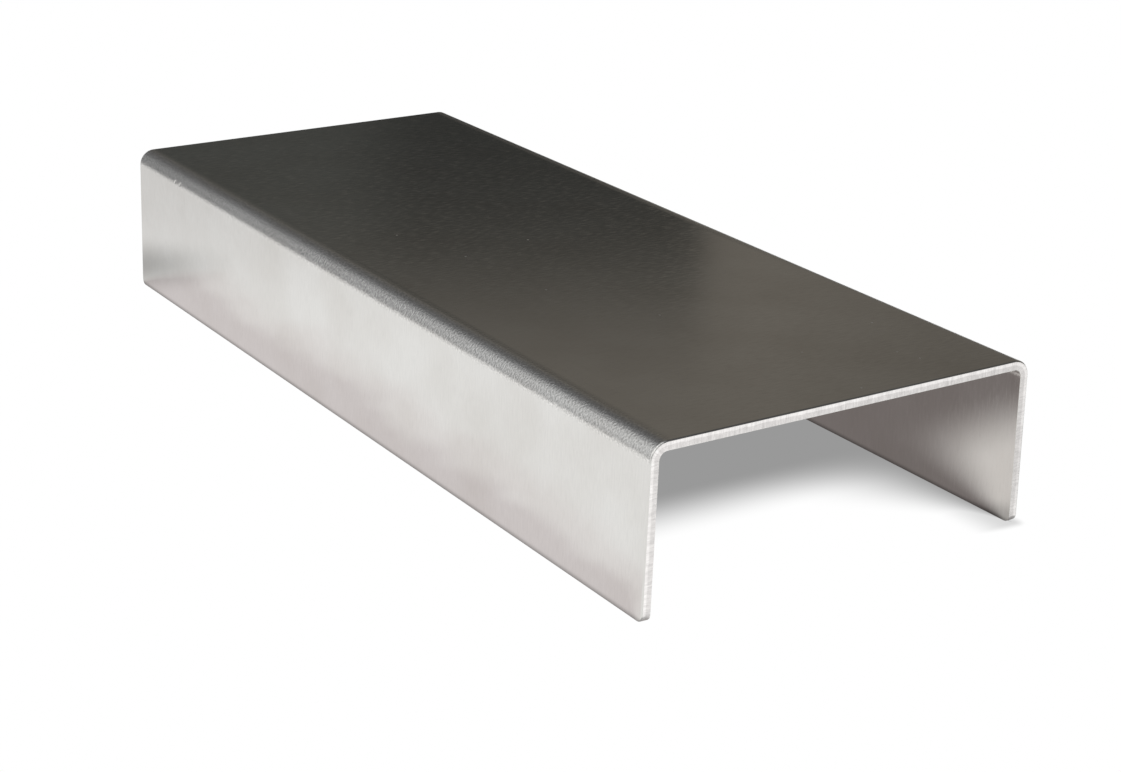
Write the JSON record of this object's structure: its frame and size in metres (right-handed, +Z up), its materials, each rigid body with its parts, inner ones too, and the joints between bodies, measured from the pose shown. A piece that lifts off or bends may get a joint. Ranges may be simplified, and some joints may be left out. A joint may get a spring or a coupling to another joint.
{
  "type": "aluminium u-channel",
  "caption": "Open U-section channel folded from aluminium sheet, with rounded bends and slightly splayed legs, used as a cap, cover or edge profile.",
  "frame": {"origin": "centre of the footprint, on the floor that the feet of the legs stand on", "axes": "+X across the channel, +Y along its length, +Z up from the feet to the web"},
  "size_m": [0.0914, 0.225, 0.035],
  "materials": {
    "aluminium_sheet": "mill finish, as rolled"
  },
  "bodies": {
    "root": {"u_channel": "aluminium_sheet"}
  },
  "joints": []
}
